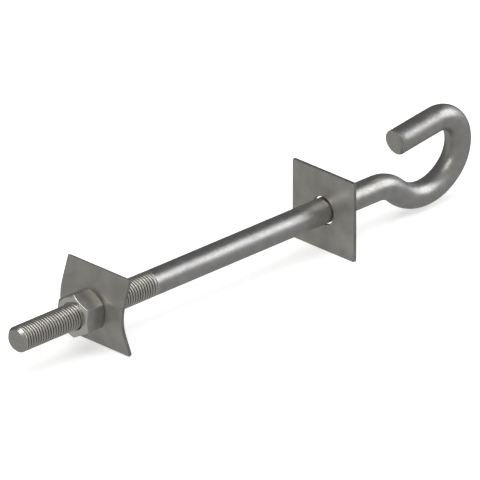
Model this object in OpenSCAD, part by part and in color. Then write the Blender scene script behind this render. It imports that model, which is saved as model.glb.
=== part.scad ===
// Hook bolt for fixing through a post: a bent round bar with a rolled thread,
// a flat square washer, a curved square washer and a hexagon nut.
// +X runs along the bar from the thread to the hook, +Z is up and the hook lies in the XZ plane.
// The origin is on the bar's axis, in the face of the flat washer that bears on the post.

/* [Bar] */
// Major diameter of the rolled thread
thread_d = 15.9; // [12:0.1:20]
// How much thinner the plain shank is than the thread
shank_undersize = 0.2; // [0.1:0.1:1]
// Length of the thread, from its tip
thread_length = 108; // [90:1:160]
// Length of the straight bar, from the thread's tip to the first bend
straight_length = 292; // [270:1:360]
// Length of the chamfer at the thread's tip
tip_chamfer = 1.3; // [0.5:0.1:2.5]

/* [Hook] */
// Distance from the post's face to the first bend
post_to_bend = 42.7; // [20:0.1:60]
// Radius of the gooseneck, on the bar's axis
neck_r = 24.8; // [20:0.1:32]
// Angle of the gooseneck, downwards
neck_angle = 43.2; // [35:0.1:50]
// Radius of the hook's saddle, where the load hangs
saddle_r = 32.5; // [28:0.1:40]
// Angle of the saddle, upwards
saddle_angle = 88.3; // [80:0.1:95]
// Radius of the hook's front
front_r = 23; // [18:0.1:30]
// Angle of the front
front_angle = 52.1; // [45:0.1:60]
// Radius of the hook's top
top_r = 17.4; // [14:0.1:24]
// Angle of the top
top_angle = 89.9; // [82:0.1:95]
// Length of the arm that ends the hook
arm_length = 32.8; // [15:0.1:48]
// Radius of the slight bow that is left in the arm
arm_r = 2000; // [600:100:5000]

/* [Flat washer] */
// Side of the flat washer
flat_side = 50; // [40:1:70]
// Thickness of the flat washer
flat_t = 2.5; // [1.5:0.1:6]

/* [Curved washer] */
// Side of the curved washer, measured flat before it was bent
curved_side = 50; // [40:1:70]
// Thickness of the curved washer
curved_t = 2.5; // [1.5:0.1:6]
// Inside radius of its bend
curve_r = 30; // [20:1:50]
// Angle of the bend on each side of the middle
curve_angle = 18.5; // [8:0.5:30]
// Radius of the slight bow that is left in its two legs
leg_r = 1000; // [300:100:3000]

/* [Nut] */
// Width of the nut across its flats
nut_af = 24; // [22:0.5:36]
// Height of the nut
nut_h = 14.8; // [8:0.1:20]
// Diameter of the flat ring on each end of the nut
nut_ring_d = 22.8; // [20:0.1:23.5]
// Angle of the chamfer on the nut's corners
nut_chamfer_angle = 30; // [15:1:40]
// Width of the countersink at each end of the nut's bore
nut_sink = 0.75; // [0.3:0.05:1.5]
// Length of thread that stands out beyond the nut
thread_beyond_nut = 44.9; // [20:0.1:70]

/* [Fits] */
// Clearance all round between the thread and a washer's hole
hole_clearance = 0.8; // [0.3:0.1:2]
// Clearance all round between the thread and the nut's bore
thread_clearance = 0.05; // [0.02:0.01:0.1]
// Gap between the nut and the curved washer's crest
seat_gap = 0.2; // [0.1:0.05:0.5]

/* [Hidden] */
$fn = 96;

shank_d = thread_d - shank_undersize;
hole_d = thread_d + 2 * hole_clearance;
bore_d = thread_d + 2 * thread_clearance;

tip_x = post_to_bend - straight_length;
nut_x = tip_x + thread_beyond_nut;
crest_x = nut_x + nut_h + seat_gap;

// How far a cutting tool runs past the piece that it cuts
cut_past = 1;

// A place along a bent piece is [x, z, heading], and a turn is positive upwards
function turned(place, r, turn) =
    let (side = sign(turn) * r, heading = place[2] + turn)
    [
        place[0] + side * (sin(heading) - sin(place[2])),
        place[1] + side * (cos(place[2]) - cos(heading)),
        heading
    ];

function angle_of(length, r) = length / r * 180 / PI;

neck_start = [post_to_bend, 0, 0];
saddle_start = turned(neck_start, neck_r, -neck_angle);
front_start = turned(saddle_start, saddle_r, saddle_angle);
top_start = turned(front_start, front_r, front_angle);
arm_start = turned(top_start, top_r, top_angle);

// Turns a cylinder or cone that stands on Z to lie along +X
module along_x(x) {
    translate([x, 0, 0]) rotate([0, 90, 0]) children();
}

// Stands what is drawn in the XY plane up in the XZ plane
module upright() {
    rotate([90, 0, 0]) children();
}

// Moves to a point in two steps, hundredths and then the rest, so that pieces meet exactly
module to_point(p) {
    near = [for (v = p) round(100 * v) / 100];
    translate(near) translate(p - near) children();
}

// Turns the outline that it is given, which is drawn around zero, through one bend
module bend(place, r, turn) {
    side = sign(turn) * r;
    from = turn > 0 ? place[2] - 90 : place[2] + turn + 90;
    to_point([place[0] - side * sin(place[2]), place[1] + side * cos(place[2]), 0])
        rotate_extrude(angle = abs(turn), start = from) translate([r, 0]) children();
}

module bar_bend(place, r, turn) {
    bend(place, r, turn) circle(d = shank_d);
}

module hook_bolt() {
    color([0.60, 0.60, 0.58]) union() {
        along_x(tip_x) cylinder(d1 = thread_d - 2 * tip_chamfer, d2 = thread_d, h = tip_chamfer);
        along_x(tip_x + tip_chamfer) cylinder(d = thread_d, h = thread_length - tip_chamfer);
        along_x(tip_x + thread_length) cylinder(d = shank_d, h = straight_length - thread_length);
        upright() {
            bar_bend(neck_start, neck_r, -neck_angle);
            bar_bend(saddle_start, saddle_r, saddle_angle);
            bar_bend(front_start, front_r, front_angle);
            bar_bend(top_start, top_r, top_angle);
            bar_bend(arm_start, arm_r, angle_of(arm_length, arm_r));
        }
    }
}

module flat_washer() {
    color([0.52, 0.51, 0.49]) difference() {
        translate([0, -flat_side / 2, -flat_side / 2]) cube([flat_t, flat_side, flat_side]);
        along_x(-cut_past) cylinder(d = hole_d, h = flat_t + 2 * cut_past);
    }
}

// The bent washer keeps its flat length along the middle of its thickness
curve_mid_r = curve_r + curved_t / 2;
crest = [crest_x + curved_t / 2, 0, 90];
leg_start = turned(crest, curve_mid_r, -curve_angle);
leg_length = curved_side / 2 - curve_mid_r * curve_angle * PI / 180;

module plate_bend(place, r, turn) {
    bend(place, r, turn) square([curved_t, curved_side], center = true);
}

module curved_washer() {
    color([0.54, 0.53, 0.51]) difference() {
        upright() for (end = [0, 1]) mirror([0, end, 0]) {
            plate_bend(crest, curve_mid_r, -curve_angle);
            plate_bend(leg_start, leg_r, -angle_of(leg_length, leg_r));
        }
        along_x(crest_x - cut_past) cylinder(d = hole_d, h = curved_t + curve_r);
    }
}

// The blank that rounds the nut's corners off: it is turned, and wider than the corners
module nut_blank() {
    corner_r = nut_af / sqrt(3) + cut_past;
    chamfer_h = (corner_r - nut_ring_d / 2) * tan(nut_chamfer_angle);
    rotate_extrude()
        polygon([
            [0, 0],
            [nut_ring_d / 2, 0],
            [corner_r, chamfer_h],
            [corner_r, nut_h - chamfer_h],
            [nut_ring_d / 2, nut_h],
            [0, nut_h]
        ]);
}

module nut_bore() {
    sink_h = nut_sink * tan(30);
    translate([0, 0, -cut_past]) cylinder(d = bore_d, h = nut_h + 2 * cut_past);
    for (end = [0, 1])
        translate([0, 0, end * nut_h]) mirror([0, 0, end])
            cylinder(d1 = bore_d + 2 * nut_sink, d2 = bore_d, h = sink_h);
}

module hex_nut() {
    color([0.57, 0.57, 0.55]) along_x(nut_x) difference() {
        intersection() {
            cylinder(d = 2 * nut_af / sqrt(3), h = nut_h, $fn = 6);
            nut_blank();
        }
        nut_bore();
    }
}

hook_bolt();
flat_washer();
curved_washer();
hex_nut();
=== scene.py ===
"""Looks of a hook bolt with a flat washer, a curved washer and a nut. Lengths are in metres."""

import math

import bmesh
import bpy
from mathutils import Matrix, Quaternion, Vector


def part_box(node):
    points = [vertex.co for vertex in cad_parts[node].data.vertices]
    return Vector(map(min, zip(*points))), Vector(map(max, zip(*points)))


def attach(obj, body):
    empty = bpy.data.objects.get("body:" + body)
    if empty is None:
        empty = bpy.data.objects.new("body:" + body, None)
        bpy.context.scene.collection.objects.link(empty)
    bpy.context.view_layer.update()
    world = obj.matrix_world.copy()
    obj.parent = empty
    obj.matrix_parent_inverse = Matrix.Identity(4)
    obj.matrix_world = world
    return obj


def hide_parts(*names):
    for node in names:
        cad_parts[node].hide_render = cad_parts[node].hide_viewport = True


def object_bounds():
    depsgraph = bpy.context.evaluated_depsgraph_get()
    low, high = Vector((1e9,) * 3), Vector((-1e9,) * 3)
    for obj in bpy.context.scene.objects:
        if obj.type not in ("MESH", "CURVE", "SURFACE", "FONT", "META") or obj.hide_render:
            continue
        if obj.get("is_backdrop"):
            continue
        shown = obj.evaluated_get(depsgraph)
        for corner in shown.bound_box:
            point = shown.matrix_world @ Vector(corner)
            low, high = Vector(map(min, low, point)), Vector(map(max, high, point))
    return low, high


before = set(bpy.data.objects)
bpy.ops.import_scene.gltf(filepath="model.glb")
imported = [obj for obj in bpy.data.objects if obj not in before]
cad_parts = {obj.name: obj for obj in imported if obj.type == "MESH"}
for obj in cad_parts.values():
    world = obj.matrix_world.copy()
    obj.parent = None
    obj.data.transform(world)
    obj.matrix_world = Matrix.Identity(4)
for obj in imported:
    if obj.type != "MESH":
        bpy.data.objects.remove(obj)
cad_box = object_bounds()

MM = 0.001

# Sizes that the frame gives, read from the boxes of its nodes
BOLT_LOW, BOLT_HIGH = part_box("hook_bolt")
FLAT_LOW, FLAT_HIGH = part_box("flat_washer")
CURVED_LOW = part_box("curved_washer")[0]
NUT_LOW, NUT_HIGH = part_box("hex_nut")

# Thread, shank and hook, as the bar was bent: each bend is a radius and a turn in degrees
THREAD_LENGTH = 108 * MM
STRAIGHT_LENGTH = 292 * MM
ARM_R = 2000 * MM
ARM_LENGTH = 32.8 * MM
BENDS = [
    (24.8 * MM, -43.2),
    (32.5 * MM, 88.3),
    (23.0 * MM, 52.1),
    (17.4 * MM, 89.9),
    (ARM_R, math.degrees(ARM_LENGTH / ARM_R)),
]
THREAD_R = BOLT_HIGH[1]
SHANK_R = THREAD_R - 0.1 * MM
TIP_X = BOLT_LOW[0]
TIP_CONE = 1.75 * MM
TIP_FACE_R = THREAD_R - 1.6 * MM
THREAD_END_X = TIP_X + THREAD_LENGTH
BEND_X = TIP_X + STRAIGHT_LENGTH

# The arm's broken edge, and its rings: each is these shares of the edge smaller and further back
ARM_EDGE = 0.35 * MM
ARM_EDGE_RINGS = [(0, 1), (0.3, 0.3), (1, 0)]

# How finely the bar is divided: points round it, steps along its shank, degrees of bend to a step
BAR_SIDES = 96
SHANK_STEPS = 24
BEND_STEP = 3
LEAST_BEND_STEPS = 8

# Profile of the M16 thread: flanks at 60 degrees to the bar, between a round crest and a round root
PITCH = 2.0 * MM
CREST_ROUND = 0.6 * MM
ROOT_ROUND = 0.25 * MM
FLANK = math.radians(60)
CREST_HALF = CREST_ROUND * math.sin(FLANK)
ROOT_HALF = ROOT_ROUND * math.sin(FLANK)
CREST_DROP = CREST_ROUND * (1 - math.cos(FLANK))
ROOT_DROP = ROOT_ROUND * (1 - math.cos(FLANK))
FLANK_DROP = (PITCH / 2 - CREST_HALF - ROOT_HALF) * math.tan(FLANK)
THREAD_DEPTH = CREST_DROP + FLANK_DROP + ROOT_DROP

# Places of the points of one turn past a crest. The side that rises to the next crest has one less.
CREST_POINTS = [share * CREST_HALF for share in (0, 0.35, 0.7, 1)]
ROOT_POINTS = [PITCH / 2 - share * ROOT_HALF for share in (1, 0.5)]
PROFILE = CREST_POINTS + ROOT_POINTS + [PITCH / 2]
PROFILE += [PITCH - x for x in reversed(CREST_POINTS[2:] + ROOT_POINTS)]

# Where the first crest crosses angle 0, and the lengths over which the grooves deepen behind the
# tip and run out at the shank
FIRST_CREST_X = TIP_X - 1.5 * PITCH
LEAD_IN = 0.6 * PITCH
RUN_OUT = 2.2 * PITCH
RUN_OUT_POWER = 0.7

# Plates. The spread is the shares of the way from the hole to the rim where a face has points.
FLAT_T = FLAT_HIGH[0] - FLAT_LOW[0]
PLATE_SIDE = FLAT_HIGH[1] - FLAT_LOW[1]
HOLE_R = THREAD_R + 0.8 * MM
PLATE_EDGE = 0.18 * MM
PLATE_SPREAD = [0.0, 0.12, 0.3, 0.55, 0.8, 1.0]
POINTS_PER_SIDE = 20

# The curved washer's bend, and the steps of the search for a height on it
CURVED_T = 2.5 * MM
CURVE_MID_R = 30 * MM + CURVED_T / 2
CURVE_ANGLE = math.radians(18.5)
LEG_R = 1000 * MM
HALVINGS = 40

# Nut. Its points lie at these degrees from the middle of each flat, closest at the corners.
NUT_AF = NUT_HIGH[1] - NUT_LOW[1]
NUT_RING_R = 11.4 * MM
NUT_EDGE = 0.12 * MM
NUT_CHAMFER = math.tan(math.radians(30))
NUT_SINK_R = THREAD_R + 0.8 * MM
NUT_MINOR_R = THREAD_R - THREAD_DEPTH + 0.13 * MM
NUT_MAJOR_R = THREAD_R + 0.05 * MM
THREAD_GAP = 0.07 * MM
NUT_DEGREES = [-30, -29.3, -28, -24, -17, -9, 0, 9, 17, 24, 28, 29.3]

# Points nearer than this are one point, and edges sharper than this stay sharp
JOIN = 0.0002 * MM
SHARP_ANGLE = math.radians(33)

# A face whose normal has more of +X or -X than this faces along the bar
ALONG_BAR = 0.5

# Painted shade in the thread's roots: the dark tone painted there, and the shares of its depth where the
# painted shade is full and where it ends, leaving the crests their own tone
ROOT_SHADE_TONE = (0.16, 0.155, 0.145)
FULL_SHADE_DEPTH = 0.7
NO_SHADE_DEPTH = 0.22

# Most values of a noise lie in this range
NOISE_RANGE = (0.3, 0.7)
STAIN_DETAIL = 1.5
GRAIN_DETAIL = 1

# Floor: half its side, its tone and the light that it gives off
FLOOR_HALF = 12.0
FLOOR_TONE = (0.93, 0.93, 0.93)
FLOOR_GLOW = 0.56

# The room that the steel reflects. Its dark side lies at this azimuth and elevation, and fades in
# between these two cosines of the angle from it.
ROOM_TONE = (0.32, 0.317, 0.312)
DARK_TONE = (0.13, 0.13, 0.13)
DARK_SIDE = (60, 30)
DARK_FADE = (0.1, 0.8)

# The photograph's view: 45 degrees round from straight behind the nut and 25 degrees up. The long
# lens leaves it almost without perspective. The lens and its sensor are in millimetres.
VIEW_CENTRE = Vector((-62.1, 5.9, -0.3)) * MM
VIEW_WIDTH = 277.58 * MM
VIEW_BACK = Vector((-1, -1, math.sqrt(2) * math.tan(math.radians(25)))).normalized()
LENS = 1500
SENSOR = 36


def new_piece(name, verts, faces):
    """A closed mesh with joined points and outward faces, smooth between its sharp edges."""
    mesh = bpy.data.meshes.new(name)
    mesh.from_pydata(verts, [], faces)
    work = bmesh.new()
    work.from_mesh(mesh)
    bmesh.ops.remove_doubles(work, verts=work.verts, dist=JOIN)
    bmesh.ops.recalc_face_normals(work, faces=work.faces)
    work.to_mesh(mesh)
    work.free()
    mesh.shade_smooth()
    mesh.set_sharp_from_angle(angle=SHARP_ANGLE)
    piece = bpy.data.objects.new(name, mesh)
    bpy.context.collection.objects.link(piece)
    return piece


def around(r, turn):
    """(y, z) of a point at radius r and angle turn round the bar."""
    return r * math.cos(turn), r * math.sin(turn)


def band(first, rows, columns, shift=0):
    """Faces between rows of points, which are numbered from first. The last column meets the first
    one shift rows further on."""
    faces = []
    for k in range(rows - 1):
        for j in range(columns):
            a = first + k * columns + j
            if j < columns - 1:
                b = a + 1
            elif k + shift + 1 < rows:
                b = first + (k + shift) * columns
            else:
                continue
            faces.append((a, b, b + columns, a + columns))
    return faces


def thread_radius(x):
    """Radius of the bolt's thread at x past a crest."""
    x = min(x, PITCH - x)
    if x < CREST_HALF:
        drop = CREST_ROUND - math.sqrt(CREST_ROUND ** 2 - x ** 2)
    elif x < PITCH / 2 - ROOT_HALF:
        drop = CREST_DROP + (x - CREST_HALF) * math.tan(FLANK)
    else:
        drop = THREAD_DEPTH - ROOT_ROUND + math.sqrt(ROOT_ROUND ** 2 - (PITCH / 2 - x) ** 2)
    return THREAD_R - drop


def helix_rows(low_x, high_x):
    """(x at angle 0, radius) of each row of a right-hand thread. Its turns reach past low_x and
    high_x all round, and are cut off there later."""
    first = math.floor((low_x - FIRST_CREST_X) / PITCH) - 2
    last = math.ceil((high_x - FIRST_CREST_X) / PITCH) + 1
    return [
        (FIRST_CREST_X + i * PITCH + x, thread_radius(x))
        for i in range(first, last) for x in PROFILE
    ]


def bolt_thread_point(x, r, turn):
    """The thread's surface on the bolt, with its chamfered tip and its run-out."""
    x += PITCH * turn / math.tau
    lead = min(1.0, max(0.0, (x - TIP_X - TIP_CONE) / LEAD_IN))
    r = THREAD_R + (r - THREAD_R) * lead
    fade = min(1.0, max(0.0, (THREAD_END_X - x) / RUN_OUT))
    r = SHANK_R + (r - SHANK_R) * fade ** RUN_OUT_POWER
    x = min(max(x, TIP_X), THREAD_END_X)
    cone_r = TIP_FACE_R + (THREAD_R - TIP_FACE_R) * (x - TIP_X) / TIP_CONE
    return x, *around(min(r, cone_r), turn)


def bar_path():
    """Places along the bar's axis past the thread, as (x, z, heading)."""
    length = BEND_X - THREAD_END_X
    points = [(THREAD_END_X + length * i / SHANK_STEPS, 0.0, 0.0) for i in range(SHANK_STEPS + 1)]
    for r, degrees in BENDS:
        x, z, heading = points[-1]
        side = math.copysign(r, degrees)
        steps = max(LEAST_BEND_STEPS, math.ceil(abs(degrees) / BEND_STEP))
        for i in range(1, steps + 1):
            h = heading + math.radians(degrees) * i / steps
            points.append((
                x + side * (math.sin(h) - math.sin(heading)),
                z + side * (math.cos(heading) - math.cos(h)),
                h,
            ))
    return points


def bar_ring(place, r, back=0.0):
    """A ring of points round the bar at a place on its axis, or a little before it."""
    x, z, heading = place
    x -= back * math.cos(heading)
    z -= back * math.sin(heading)
    ring = [around(r, math.tau * j / BAR_SIDES) for j in range(BAR_SIDES)]
    return [(x - up * math.sin(heading), y, z + up * math.cos(heading)) for y, up in ring]


def make_bolt():
    """The whole bar as one closed mesh: tip, helical thread, shank, gooseneck, hook and arm."""
    rows = helix_rows(TIP_X, THREAD_END_X)
    turns = [math.tau * j / BAR_SIDES for j in range(BAR_SIDES)]
    verts = [bolt_thread_point(x, r, turn) for x, r in rows for turn in turns]
    faces = band(0, len(rows), BAR_SIDES, shift=len(PROFILE))

    path = bar_path()
    rings = [bar_ring(place, SHANK_R) for place in path[:-1]]
    for less, back in ARM_EDGE_RINGS:
        rings.append(bar_ring(path[-1], SHANK_R - less * ARM_EDGE, back * ARM_EDGE))
    faces += band(len(verts), len(rings), BAR_SIDES)
    for ring in rings:
        verts += ring
    faces.append(range(len(verts) - BAR_SIDES, len(verts)))

    tip = len(verts)
    verts += bar_ring((TIP_X, 0.0, 0.0), TIP_FACE_R)
    faces.append(range(tip, tip + BAR_SIDES))
    return new_piece("hook_bolt_body", verts, faces)


def make_plate(name, thickness, place):
    """A square plate with a round hole and just broken edges. place(inner, outer, s, w) bends it:
    the point a share s of the way from the hole to the rim, and w out of the plate's middle."""
    count = 4 * POINTS_PER_SIDE
    turns = [math.tau * (j / count + 1 / 8) for j in range(count)]
    top = thickness / 2
    wall = top - PLATE_EDGE
    hole, rim = HOLE_R, PLATE_SIDE / 2
    loops = [(hole, rim, 0.0, -wall), (hole, rim, 0.0, wall)]
    loops += [(hole + PLATE_EDGE, rim - PLATE_EDGE, s, top) for s in PLATE_SPREAD]
    loops += [(hole, rim, 1.0, wall), (hole, rim, 1.0, -wall)]
    loops += [(hole + PLATE_EDGE, rim - PLATE_EDGE, s, -top) for s in reversed(PLATE_SPREAD)]
    verts = []
    for hole_r, half, s, w in loops + loops[:1]:
        for j, turn in enumerate(turns):
            c, d = math.cos(turn), math.sin(turn)
            blunt = PLATE_EDGE / 2 if j % POINTS_PER_SIDE == 0 else 0
            reach = half / max(abs(c), abs(d)) - blunt
            verts.append(place((hole_r * c, hole_r * d), (reach * c, reach * d), s, w))
    return new_piece(name, verts, band(0, len(loops) + 1, count))


def make_flat_washer():
    """The flat washer, across the bar."""
    middle = (FLAT_LOW[0] + FLAT_HIGH[0]) / 2

    def place(inner, outer, s, w):
        y, z = (i + (o - i) * s for i, o in zip(inner, outer))
        return middle - w, y, z

    return make_plate("flat_washer_plate", FLAT_T, place)


def on_curved_plate(v, w):
    """(x, z) of the point v along the bent washer and w out of its middle, towards the nut."""
    turn = min(abs(v), CURVE_MID_R * CURVE_ANGLE) / CURVE_MID_R
    along_leg = (abs(v) - CURVE_MID_R * turn) / LEG_R
    end = turn + along_leg
    x = CURVE_MID_R * (1 - math.cos(turn)) + LEG_R * (math.cos(turn) - math.cos(end))
    z = CURVE_MID_R * math.sin(turn) + LEG_R * (math.sin(end) - math.sin(turn))
    crest_x = CURVED_LOW[0] + CURVED_T / 2
    return crest_x + x - w * math.cos(end), math.copysign(z + w * math.sin(end), v)


def along_curved_plate(z, w):
    """How far along the bent washer the point of height z lies, found by halving."""
    low, high = 0.0, PLATE_SIDE
    for _ in range(HALVINGS):
        v = (low + high) / 2
        if on_curved_plate(v, w)[1] < abs(z):
            low = v
        else:
            high = v
    return math.copysign(low, z)


def make_curved_washer():
    """The curved washer, bent about Y. Its hole is round as seen along the bar."""

    def place(inner, outer, s, w):
        v_in = along_curved_plate(inner[1], w)
        x, z = on_curved_plate(v_in + (outer[1] - v_in) * s, w)
        return x, inner[0] + (outer[0] - inner[0]) * s, z

    return make_plate("curved_washer_plate", CURVED_T, place)


def nut_radius(turn):
    """Radius of the hexagon at an angle, with its corners just rounded. Two of them are at +Z and -Z."""
    off_flat = (turn - math.pi / 2) % (math.pi / 3) - math.pi / 6
    return min(NUT_AF / 2 / math.cos(off_flat), NUT_AF / math.sqrt(3) - NUT_EDGE)


def nut_end_rings(end, turns):
    """Rings of one end of the nut, from the countersink out to the flats. end is -1 or 1."""
    face_x = NUT_LOW[0] if end < 0 else NUT_HIGH[0]
    round_radii = (NUT_SINK_R, NUT_SINK_R + NUT_EDGE, NUT_RING_R - NUT_EDGE, NUT_RING_R + NUT_EDGE)
    outlines = [[r] * len(turns) for r in round_radii]
    outlines.append([nut_radius(turn) - NUT_EDGE for turn in turns])
    outlines.append([nut_radius(turn) for turn in turns])
    rings = []
    for outline in outlines:
        places = [face_x - end * max(0.0, r - NUT_RING_R) * NUT_CHAMFER for r in outline]
        rings.append([(x, *around(r, turn)) for x, r, turn in zip(places, outline, turns)])
    rings[-1] = [(x - end * NUT_EDGE, y, z) for x, y, z in rings[-1]]
    return rings


def nut_thread_point(x, r, turn):
    """The thread inside the nut: a gap round the bolt's, cut off at both radii and at the countersinks."""
    x = min(max(x + PITCH * turn / math.tau, NUT_LOW[0]), NUT_HIGH[0])
    r = min(max(r + THREAD_GAP, NUT_MINOR_R), NUT_MAJOR_R)
    from_end = min(x - NUT_LOW[0], NUT_HIGH[0] - x)
    return x, *around(max(r, NUT_SINK_R - from_end / NUT_CHAMFER), turn)


def make_nut():
    """Hexagon nut with turned chamfers, countersinks and a thread in phase with the bolt's."""
    turns = [math.radians(60 * flat + a) for flat in range(6) for a in NUT_DEGREES]
    rings = nut_end_rings(-1, turns) + nut_end_rings(1, turns)[::-1]
    verts = [point for ring in rings for point in ring]
    faces = band(0, len(rings), len(turns))
    rows = helix_rows(NUT_LOW[0], NUT_HIGH[0])
    faces += band(len(verts), len(rows), len(turns), shift=len(PROFILE))
    verts += [nut_thread_point(x, r, turn) for x, r in rows for turn in turns]
    return new_piece("hex_nut_body", verts, faces)


def noise(tree, size, detail):
    """Value of a noise whose blotches are about that size, fixed to the piece."""
    place = tree.nodes.new("ShaderNodeTexCoord")
    texture = tree.nodes.new("ShaderNodeTexNoise")
    texture.inputs["Scale"].default_value = 1 / size
    texture.inputs["Detail"].default_value = detail
    tree.links.new(place.outputs["Object"], texture.inputs["Vector"])
    return texture.outputs["Fac"]


def map_range(tree, value, source, result=(0, 1)):
    """A node that maps the value from the source's range to the result's, and stops at its ends."""
    change = tree.nodes.new("ShaderNodeMapRange")
    for name, limits in (("From", source), ("To", result)):
        change.inputs[name + " Min"].default_value = limits[0]
        change.inputs[name + " Max"].default_value = limits[1]
    tree.links.new(value, change.inputs["Value"])
    return change


def vector_math(tree, operation, vector, other=None):
    """A node that works on a vector and, where the operation takes two, on a fixed other one."""
    work = tree.nodes.new("ShaderNodeVectorMath")
    work.operation = operation
    tree.links.new(vector, work.inputs[0])
    if other is not None:
        work.inputs[1].default_value = other
    return work


def mix_tones(tree, share, a, b):
    """The colour that share of the way from a to b. Each is a tone or the output of a node."""
    mix = tree.nodes.new("ShaderNodeMix")
    mix.data_type = "RGBA"
    tree.links.new(share, mix.inputs["Factor"])
    for name, colour in (("A", a), ("B", b)):
        if isinstance(colour, tuple):
            mix.inputs[name].default_value = (*colour, 1)
        else:
            tree.links.new(colour, mix.inputs[name])
    return mix.outputs["Result"]


def painted_root_shade(tree, colour):
    """The colour, with shade painted darker towards the roots of the thread and left as it is on its
    crests.
    """
    place = tree.nodes.new("ShaderNodeTexCoord")
    across = vector_math(tree, "MULTIPLY", place.outputs["Object"], (0, 1, 1))
    radius = vector_math(tree, "LENGTH", across.outputs["Vector"])
    full_shade_r = THREAD_R - FULL_SHADE_DEPTH * THREAD_DEPTH
    no_shade_r = THREAD_R - NO_SHADE_DEPTH * THREAD_DEPTH
    height = map_range(tree, radius.outputs["Value"], (full_shade_r, no_shade_r))
    return mix_tones(tree, height.outputs["Result"], ROOT_SHADE_TONE, colour)


def steel(name, dark, light, roughness, stain, grain, relief, thread=False, metal=1.0):
    """Satin steel between two tones, with stains and a grain of those sizes and a little relief."""
    material = bpy.data.materials.new(name)
    material.use_nodes = True
    tree = material.node_tree
    shader = tree.nodes["Principled BSDF"]
    shader.inputs["Metallic"].default_value = metal

    stains = map_range(tree, noise(tree, stain, STAIN_DETAIL), NOISE_RANGE)
    colour = mix_tones(tree, stains.outputs["Result"], dark, light)
    # A thread's colour gets painted shade in its roots
    if thread:
        colour = painted_root_shade(tree, colour)
    tree.links.new(colour, shader.inputs["Base Color"])

    finish = noise(tree, grain, GRAIN_DETAIL)
    dull = map_range(tree, finish, NOISE_RANGE, roughness)
    tree.links.new(dull.outputs["Result"], shader.inputs["Roughness"])

    bump = tree.nodes.new("ShaderNodeBump")
    bump.inputs["Distance"].default_value = relief
    bump.inputs["Strength"].default_value = 1.0
    tree.links.new(finish, bump.inputs["Height"])
    tree.links.new(bump.outputs["Normal"], shader.inputs["Normal"])
    return material


def paint(piece, materials, finish):
    """Gives the piece its materials, and each face the one that finish(face) counts to, from 0."""
    for material in materials:
        piece.data.materials.append(material)
    for face in piece.data.polygons:
        face.material_index = finish(face)
    return piece


def bolt_finish(face):
    """0 on the bar, 1 on its thread and 2 on its two cut ends."""
    if len(face.vertices) == BAR_SIDES or face.center.x < TIP_X + TIP_CONE:
        return 2
    return 1 if face.center.x < THREAD_END_X else 0


def plate_finish(face):
    """0 on a plate's rolled faces, and 1 on its darker sheared rims and in its hole."""
    return 1 if abs(face.normal.x) < ALONG_BAR else 0


def nut_finish(face):
    """0 on the nut's dull flats, and 1 where it was turned bright: its ends, chamfers and thread."""
    return 1 if abs(face.normal.x) > ALONG_BAR else 0


def add_piece(piece, node, body):
    """The piece stands for the node and rides on its body."""
    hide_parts(node)
    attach(piece, body)


def make_pieces():
    """The steels and the four pieces, each on its body."""
    bar = steel(
        "bar_steel", dark=(0.52, 0.51, 0.48), light=(0.60, 0.605, 0.61), roughness=(0.30, 0.44),
        stain=7 * MM, grain=1.4 * MM, relief=0.05 * MM,
    )
    thread = steel(
        "thread_steel", dark=(0.70, 0.685, 0.635), light=(0.82, 0.805, 0.75), roughness=(0.26, 0.36),
        stain=4 * MM, grain=0.8 * MM, relief=0.004 * MM, thread=True,
    )
    cut = steel(
        "cut_steel", dark=(0.64, 0.63, 0.595), light=(0.68, 0.67, 0.63), roughness=(0.26, 0.30),
        stain=5 * MM, grain=0.8 * MM, relief=0.004 * MM,
    )
    plate = steel(
        "plate_steel", dark=(0.36, 0.352, 0.33), light=(0.45, 0.44, 0.41), roughness=(0.30, 0.36),
        stain=10 * MM, grain=7.0 * MM, relief=0.07 * MM, metal=0.7,
    )
    rim = steel(
        "rim_steel", dark=(0.23, 0.23, 0.22), light=(0.33, 0.33, 0.315), roughness=(0.40, 0.50),
        stain=6 * MM, grain=1.0 * MM, relief=0.01 * MM, metal=0.8,
    )
    nut = steel(
        "nut_steel", dark=(0.49, 0.48, 0.45), light=(0.59, 0.58, 0.55), roughness=(0.38, 0.45),
        stain=5 * MM, grain=3.0 * MM, relief=0.015 * MM,
    )
    turned = steel(
        "turned_steel", dark=(0.93, 0.92, 0.88), light=(0.98, 0.97, 0.93), roughness=(0.18, 0.22),
        stain=4 * MM, grain=3.0 * MM, relief=0.004 * MM,
    )
    bolt = paint(make_bolt(), (bar, thread, cut), bolt_finish)
    flat_washer = paint(make_flat_washer(), (plate, rim), plate_finish)
    curved_washer = paint(make_curved_washer(), (plate, rim), plate_finish)
    hex_nut = paint(make_nut(), (nut, turned), nut_finish)
    add_piece(bolt, "hook_bolt", "bolt")
    add_piece(flat_washer, "flat_washer", "front_washer")
    add_piece(curved_washer, "curved_washer", "back_washer")
    add_piece(hex_nut, "hex_nut", "nut")


def make_floor():
    """A plain pale floor, level with the flat washer's lower edge, that the steel doesn't reflect."""
    half, z = FLOOR_HALF, cad_box[0][2]
    corners = [(-half, -half, z), (half, -half, z), (half, half, z), (-half, half, z)]
    mesh = bpy.data.meshes.new("floor")
    mesh.from_pydata(corners, [], [(0, 1, 2, 3)])
    floor = bpy.data.objects.new("floor", mesh)
    bpy.context.collection.objects.link(floor)
    material = bpy.data.materials.new("floor_paper")
    material.use_nodes = True
    shader = material.node_tree.nodes["Principled BSDF"]
    shader.inputs["Base Color"].default_value = (*FLOOR_TONE, 1)
    shader.inputs["Roughness"].default_value = 1.0
    shader.inputs["Specular IOR Level"].default_value = 0.0
    shader.inputs["Emission Color"].default_value = (1, 1, 1, 1)
    shader.inputs["Emission Strength"].default_value = FLOOR_GLOW
    mesh.materials.append(material)
    floor.visible_glossy = False
    floor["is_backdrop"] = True


def direction(azimuth, elevation):
    """A direction by its angle from +X towards +Y and its angle above the floor, in degrees."""
    a, e = math.radians(azimuth), math.radians(elevation)
    return Vector((math.cos(e) * math.cos(a), math.cos(e) * math.sin(a), math.sin(e)))


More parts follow.
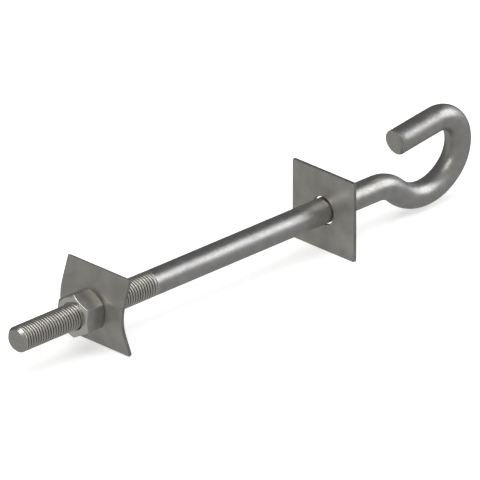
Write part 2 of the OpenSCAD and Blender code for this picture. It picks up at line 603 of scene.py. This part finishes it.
def make_world():
    """A grey room with one dark side."""
    world = bpy.data.worlds.new("room")
    bpy.context.scene.world = world
    world.use_nodes = True
    tree = world.node_tree
    place = tree.nodes.new("ShaderNodeTexCoord")
    facing = vector_math(tree, "DOT_PRODUCT", place.outputs["Generated"], direction(*DARK_SIDE))
    share = map_range(tree, facing.outputs["Value"], DARK_FADE)
    share.interpolation_type = "SMOOTHSTEP"
    tone = mix_tones(tree, share.outputs["Result"], ROOM_TONE, DARK_TONE)
    tree.links.new(tone, tree.nodes["Background"].inputs["Color"])


def make_light(name, towards, distance, size, radiance, tint=(1, 1, 1), roll=0, glossy=True):
    """A soft area light seen from the view's centre in that direction. size is its width and
    height, and roll turns it, in degrees, clockwise as seen from there."""
    light = bpy.data.lights.new(name, "AREA")
    light.shape = "RECTANGLE"
    light.size, light.size_y = size
    light.energy = radiance * math.pi * size[0] * size[1]
    light.color = tint
    lamp = bpy.data.objects.new(name, light)
    towards = Vector(towards).normalized()
    lamp.location = VIEW_CENTRE + towards * distance
    aim = (-towards).to_track_quat("-Z", "Y")
    lamp.rotation_euler = (aim @ Quaternion((0, 0, 1), math.radians(roll))).to_euler()
    lamp.visible_glossy = glossy
    bpy.context.collection.objects.link(lamp)


def make_lights():
    """A light from above that the steel doesn't reflect, and three that it does."""
    make_light("overhead", direction(0, 90), distance=2.5, size=(3.0, 3.0), radiance=1.15, glossy=False)
    make_light(
        "softbox", direction(-29, 27), distance=1.7, size=(1.2, 1.1), radiance=1.8,
        tint=(0.97, 0.98, 1.0), roll=16,
    )
    make_light("side_fill", direction(8, 14), distance=1.7, size=(0.9, 1.0), radiance=0.3)
    make_light(
        "top_softbox", direction(-168, 57), distance=1.7, size=(1.4, 0.65), radiance=2.9,
        tint=(1.0, 0.98, 0.94),
    )


def make_camera():
    """The camera of the photograph's view."""
    camera = bpy.data.cameras.new("camera")
    camera.lens = LENS
    camera.sensor_width = SENSOR
    distance = camera.lens / camera.sensor_width * VIEW_WIDTH
    camera.clip_end = 4 * distance
    eye = bpy.data.objects.new("camera", camera)
    eye.location = VIEW_CENTRE + VIEW_BACK * distance
    eye.rotation_euler = (-VIEW_BACK).to_track_quat("-Z", "Y").to_euler()
    bpy.context.collection.objects.link(eye)
    bpy.context.scene.camera = eye


make_pieces()
make_floor()
make_world()
make_lights()
make_camera()
bpy.context.scene.view_settings.view_transform = "Standard"

[[list(c) for c in box] for box in (cad_box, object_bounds())]
